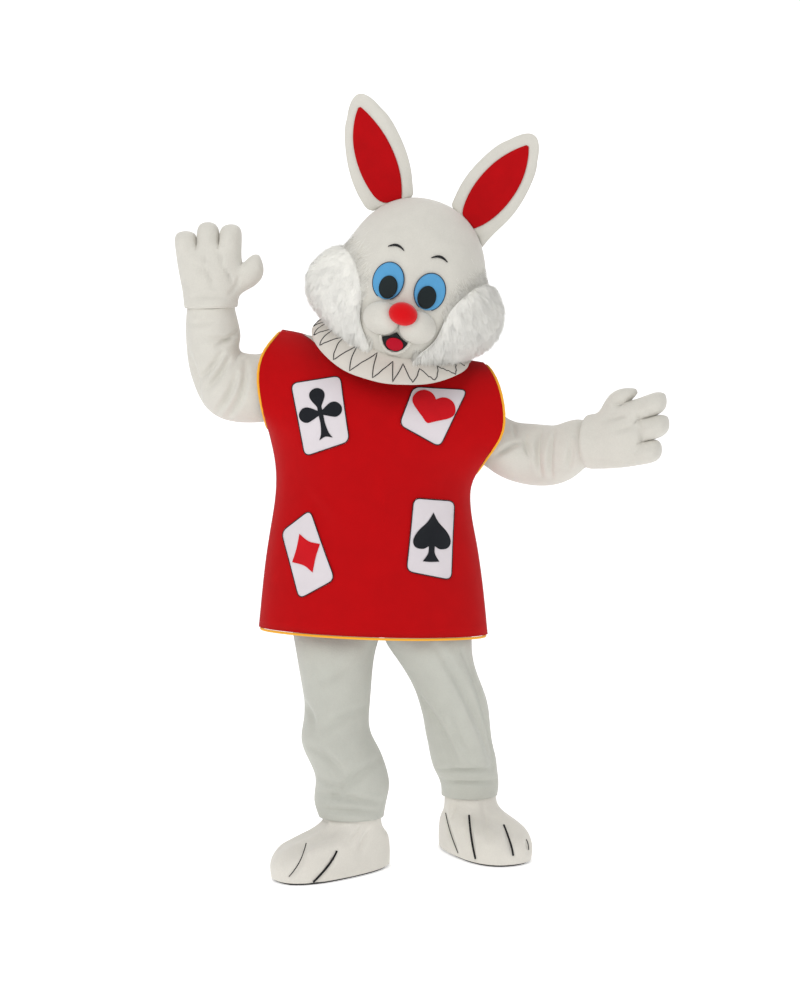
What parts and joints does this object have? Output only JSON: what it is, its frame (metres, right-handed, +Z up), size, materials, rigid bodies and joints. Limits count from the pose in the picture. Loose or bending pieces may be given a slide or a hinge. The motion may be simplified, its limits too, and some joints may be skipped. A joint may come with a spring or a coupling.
{
  "type": "rabbit mascot costume",
  "caption": "White plush rabbit mascot costume as worn: big padded head with red-lined ears, red sleeveless tabard with four card-suit patches and yellow piping, mitts and foot covers.",
  "frame": {"origin": "middle of the wearer's shoulder line, where the suit and the tabard hang from the wearer; the floor under the soles is at z = -1.40", "axes": "+Z up, front towards -Y, +X to the right as seen from in front"},
  "size_m": [1.3217, 0.6329, 2.1176],
  "materials": {
    "plush": "short pile",
    "long_fur": "long pile",
    "red_felt": "matt felt",
    "red_satin": "short pile",
    "piping": "satin cord",
    "white_cloth": "matt",
    "black_cloth": "matt",
    "red_plush": "short pile",
    "blue_felt": "felt",
    "pink_felt": "felt",
    "sole": "matt"
  },
  "bodies": {
    "root": {"suit_front": "plush", "suit_back": "plush", "sleeve_left": "plush", "sleeve_right": "plush", "leg_left": "plush", "leg_right": "plush", "glove_left": "plush", "glove_right": "plush", "foot_left": "plush", "foot_right": "plush", "head_left": "plush", "head_right": "plush", "ear_left": "plush", "ear_right": "plush", "muzzle_left": "plush", "muzzle_right": "plush", "cheek_left": "long_fur", "cheek_right": "long_fur", "tabard_front": "red_felt", "tabard_back": "red_felt", "ear_lining_left": "red_satin", "ear_lining_right": "red_satin", "armhole_piping_left": "piping", "armhole_piping_right": "piping", "hem_piping": "piping", "card_club": "white_cloth", "card_heart": "white_cloth", "card_diamond": "white_cloth", "card_spade": "white_cloth", "collar": "white_cloth", "sign_club": "black_cloth", "sign_spade": "black_cloth", "pupil_left": "black_cloth", "pupil_right": "black_cloth", "brow_left": "black_cloth", "brow_right": "black_cloth", "mouth": "black_cloth", "sign_heart": "red_plush", "sign_diamond": "red_plush", "nose": "red_plush", "eye_left": "blue_felt", "eye_right": "blue_felt", "tongue": "pink_felt", "sole_left": "sole", "sole_right": "sole"}
  },
  "joints": []
}
